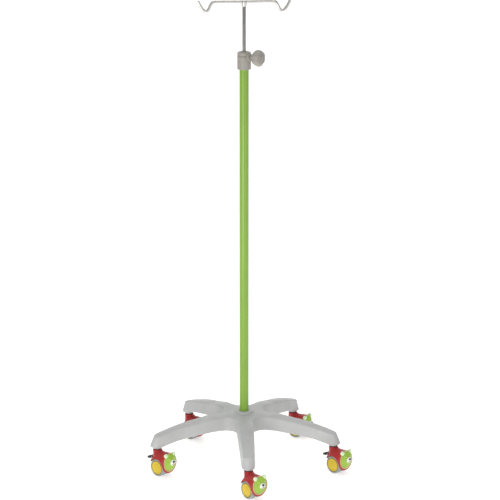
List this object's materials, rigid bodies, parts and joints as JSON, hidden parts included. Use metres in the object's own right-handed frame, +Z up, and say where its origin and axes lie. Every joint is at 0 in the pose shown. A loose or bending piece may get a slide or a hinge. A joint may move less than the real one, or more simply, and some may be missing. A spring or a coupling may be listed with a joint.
{
  "type": "iv drip stand",
  "caption": "Telescopic infusion stand with a hook bar on a sliding rod, a clamp knob, a round column and a rolling star base on swivel castors with bear faces.",
  "frame": {"origin": "centre of the hub cap's flat underside, on the column's axis, 81 mm above the floor", "axes": "+Z up the column, -Y along the base's front arm, +X to the right when facing the front"},
  "size_m": [0.5765, 0.5465, 1.3036],
  "materials": {
    "base_plastic": "light grey glass-filled nylon, fine moulded texture",
    "green_paint": "satin apple-green powder coat",
    "collar_plastic": "warm grey moulded nylon",
    "stainless_steel": "drawn stainless rod, fine lengthwise polish",
    "zinc_steel": "zinc-plated steel",
    "red_plastic": "red moulded plastic, semi-gloss",
    "face_plastic": "fresh green moulded plastic",
    "cap_plastic": "yellow moulded plastic",
    "wheel_rubber": "warm grey non-marking polyurethane",
    "pedal_plastic": "black moulded plastic",
    "nylon": "natural nylon"
  },
  "bodies": {
    "base": {"base_star": "base_plastic", "hub_cap": "base_plastic", "base_bolt": "zinc_steel", "base_washer": "zinc_steel", "column_tube": "green_paint", "column_plug": "zinc_steel", "clamp_collar": "collar_plastic", "guide_bush": "nylon", "castor_front_stem": "zinc_steel", "castor_front_right_stem": "zinc_steel", "castor_back_right_stem": "zinc_steel", "castor_back_left_stem": "zinc_steel", "castor_front_left_stem": "zinc_steel"},
    "castor_front": {"castor_front_hood": "red_plastic", "castor_front_bear_face": "face_plastic", "castor_front_axle": "zinc_steel"},
    "castor_front_left_wheel": {"castor_front_wheel_left": "wheel_rubber", "castor_front_hub_cap_left": "cap_plastic"},
    "castor_front_right_wheel": {"castor_front_wheel_right": "wheel_rubber", "castor_front_hub_cap_right": "cap_plastic"},
    "castor_front_right": {"castor_front_right_hood": "red_plastic", "castor_front_right_bear_face": "face_plastic", "castor_front_right_axle": "zinc_steel", "castor_front_right_brake_pin": "zinc_steel"},
    "castor_front_right_left_wheel": {"castor_front_right_wheel_left": "wheel_rubber", "castor_front_right_hub_cap_left": "cap_plastic"},
    "castor_front_right_right_wheel": {"castor_front_right_wheel_right": "wheel_rubber", "castor_front_right_hub_cap_right": "cap_plastic"},
    "castor_front_right_brake": {"castor_front_right_brake_pedal": "pedal_plastic"},
    "castor_back_right": {"castor_back_right_hood": "red_plastic", "castor_back_right_bear_face": "face_plastic", "castor_back_right_axle": "zinc_steel"},
    "castor_back_right_left_wheel": {"castor_back_right_wheel_left": "wheel_rubber", "castor_back_right_hub_cap_left": "cap_plastic"},
    "castor_back_right_right_wheel": {"castor_back_right_wheel_right": "wheel_rubber", "castor_back_right_hub_cap_right": "cap_plastic"},
    "castor_back_left": {"castor_back_left_hood": "red_plastic", "castor_back_left_bear_face": "face_plastic", "castor_back_left_axle": "zinc_steel"},
    "castor_back_left_left_wheel": {"castor_back_left_wheel_left": "wheel_rubber", "castor_back_left_hub_cap_left": "cap_plastic"},
    "castor_back_left_right_wheel": {"castor_back_left_wheel_right": "wheel_rubber", "castor_back_left_hub_cap_right": "cap_plastic"},
    "castor_front_left": {"castor_front_left_hood": "red_plastic", "castor_front_left_bear_face": "face_plastic", "castor_front_left_axle": "zinc_steel", "castor_front_left_brake_pin": "zinc_steel"},
    "castor_front_left_left_wheel": {"castor_front_left_wheel_left": "wheel_rubber", "castor_front_left_hub_cap_left": "cap_plastic"},
    "castor_front_left_right_wheel": {"castor_front_left_wheel_right": "wheel_rubber", "castor_front_left_hub_cap_right": "cap_plastic"},
    "castor_front_left_brake": {"castor_front_left_brake_pedal": "pedal_plastic"},
    "rod_foot": {"rod_end_bush": "nylon"},
    "rod": {"inner_rod": "stainless_steel", "hook_bar": "stainless_steel"},
    "pad": {"pressure_pad": "nylon"},
    "knob": {"clamp_screw": "zinc_steel", "clamp_knob": "collar_plastic", "knob_cap": "collar_plastic"}
  },
  "joints": [
    {"name": "castor_front_swivel", "type": "hinge", "parent": "base", "child": "castor_front", "pos_m": [0, -0.257, -0.0105], "axis": [0, 0, 1], "continuous": true},
    {"name": "castor_front_left_roll", "type": "hinge", "parent": "castor_front", "child": "castor_front_left_wheel", "pos_m": [0.01107, -0.27281, -0.056], "axis": [0.8192, 0.5736, 0], "continuous": true},
    {"name": "castor_front_right_roll", "type": "hinge", "parent": "castor_front", "child": "castor_front_right_wheel", "pos_m": [0.01107, -0.27281, -0.056], "axis": [0.8192, 0.5736, 0], "continuous": true},
    {"name": "castor_front_right_swivel", "type": "hinge", "parent": "base", "child": "castor_front_right", "pos_m": [0.24442, -0.07942, -0.0105], "axis": [0, 0, 1], "continuous": true},
    {"name": "castor_front_right_left_roll", "type": "hinge", "parent": "castor_front_right", "child": "castor_front_right_left_wheel", "pos_m": [0.25708, -0.09398, -0.056], "axis": [0.7547, 0.6561, 0], "continuous": true},
    {"name": "castor_front_right_right_roll", "type": "hinge", "parent": "castor_front_right", "child": "castor_front_right_right_wheel", "pos_m": [0.25708, -0.09398, -0.056], "axis": [0.7547, 0.6561, 0], "continuous": true},
    {"name": "castor_front_right_brake_press", "type": "hinge", "parent": "castor_front_right", "child": "castor_front_right_brake", "pos_m": [0.23458, -0.0681, -0.037], "axis": [-0.7547, -0.6561, 0], "range_deg": [0, 18]},
    {"name": "castor_back_right_swivel", "type": "hinge", "parent": "base", "child": "castor_back_right", "pos_m": [0.15106, 0.20792, -0.0105], "axis": [0, 0, 1], "continuous": true},
    {"name": "castor_back_right_left_roll", "type": "hinge", "parent": "castor_back_right", "child": "castor_back_right_left_wheel", "pos_m": [0.16725, 0.19741, -0.056], "axis": [0.5446, 0.8387, 0], "continuous": true},
    {"name": "castor_back_right_right_roll", "type": "hinge", "parent": "castor_back_right", "child": "castor_back_right_right_wheel", "pos_m": [0.16725, 0.19741, -0.056], "axis": [0.5446, 0.8387, 0], "continuous": true},
    {"name": "castor_back_left_swivel", "type": "hinge", "parent": "base", "child": "castor_back_left", "pos_m": [-0.15106, 0.20792, -0.0105], "axis": [0, 0, 1], "continuous": true},
    {"name": "castor_back_left_left_roll", "type": "hinge", "parent": "castor_back_left", "child": "castor_back_left_left_wheel", "pos_m": [-0.13765, 0.19403, -0.056], "axis": [0.7193, 0.6947, 0], "continuous": true},
    {"name": "castor_back_left_right_roll", "type": "hinge", "parent": "castor_back_left", "child": "castor_back_left_right_wheel", "pos_m": [-0.13765, 0.19403, -0.056], "axis": [0.7193, 0.6947, 0], "continuous": true},
    {"name": "castor_front_left_swivel", "type": "hinge", "parent": "base", "child": "castor_front_left", "pos_m": [-0.24442, -0.07942, -0.0105], "axis": [0, 0, 1], "continuous": true},
    {"name": "castor_front_left_left_roll", "type": "hinge", "parent": "castor_front_left", "child": "castor_front_left_left_wheel", "pos_m": [-0.23101, -0.0933, -0.056], "axis": [0.7193, 0.6947, 0], "continuous": true},
    {"name": "castor_front_left_right_roll", "type": "hinge", "parent": "castor_front_left", "child": "castor_front_left_right_wheel", "pos_m": [-0.23101, -0.0933, -0.056], "axis": [0.7193, 0.6947, 0], "continuous": true},
    {"name": "castor_front_left_brake_press", "type": "hinge", "parent": "castor_front_left", "child": "castor_front_left_brake", "pos_m": [-0.25484, -0.06863, -0.037], "axis": [-0.7193, -0.6947, 0], "range_deg": [0, 18]},
    {"name": "rod_slide", "type": "slide", "parent": "base", "child": "rod_foot", "axis": [0, 0, 1], "range_m": [-0.11, 0.75]},
    {"name": "rod_swivel", "type": "hinge", "parent": "rod_foot", "child": "rod", "pos_m": [0, 0, 0.235], "axis": [0, 0, 1], "continuous": true},
    {"name": "pad_travel", "type": "slide", "parent": "base", "child": "pad", "axis": [0.809, -0.5878, 0], "range_m": [0, 0.0025]},
    {"name": "knob_turn", "type": "hinge", "parent": "pad", "child": "knob", "pos_m": [0, 0, 1.0695], "axis": [0.809, -0.5878, 0], "range_deg": [0, 720]}
  ],
  "couplings": [
    {"joint": "pad_travel", "follows": "knob_turn", "m_per_rad": 0.0001989}
  ]
}
